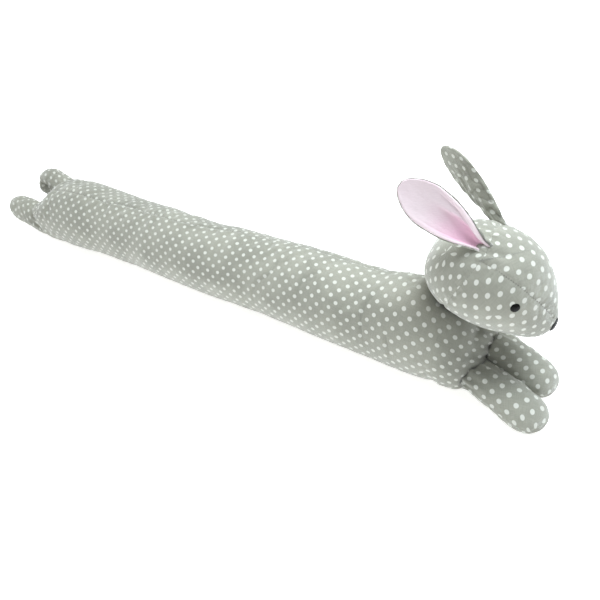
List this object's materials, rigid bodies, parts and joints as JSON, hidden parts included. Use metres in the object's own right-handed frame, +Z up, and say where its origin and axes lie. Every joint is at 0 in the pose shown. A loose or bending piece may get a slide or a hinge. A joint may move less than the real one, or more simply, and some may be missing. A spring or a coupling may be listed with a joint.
{
  "type": "rabbit draught excluder",
  "caption": "Long filled cloth draught excluder shaped as a lying rabbit, with a stuffed head on top of the tube, lined ears, front paws and hind feet.",
  "frame": {"origin": "on the floor, in the flat underside of the tube, halfway along the toy", "axes": "+X along the tube towards the nose, +Y to the rabbit's left, +Z up"},
  "size_m": [0.8983, 0.1286, 0.257],
  "materials": {
    "dotted_cotton": "matt plain weave, grey with small off-white dots",
    "pink_lining": "soft pale pink cloth",
    "black_plastic": "gloss black button",
    "black_thread": "black satin stitch"
  },
  "bodies": {
    "root": {"body": "dotted_cotton", "head": "dotted_cotton", "paw_right": "dotted_cotton", "paw_left": "dotted_cotton", "foot_right": "dotted_cotton", "foot_left": "dotted_cotton", "ear_right": "dotted_cotton", "ear_left": "dotted_cotton", "ear_lining_right": "pink_lining", "ear_lining_left": "pink_lining", "eye_right": "black_plastic", "eye_left": "black_plastic", "nose": "black_thread"}
  },
  "joints": []
}
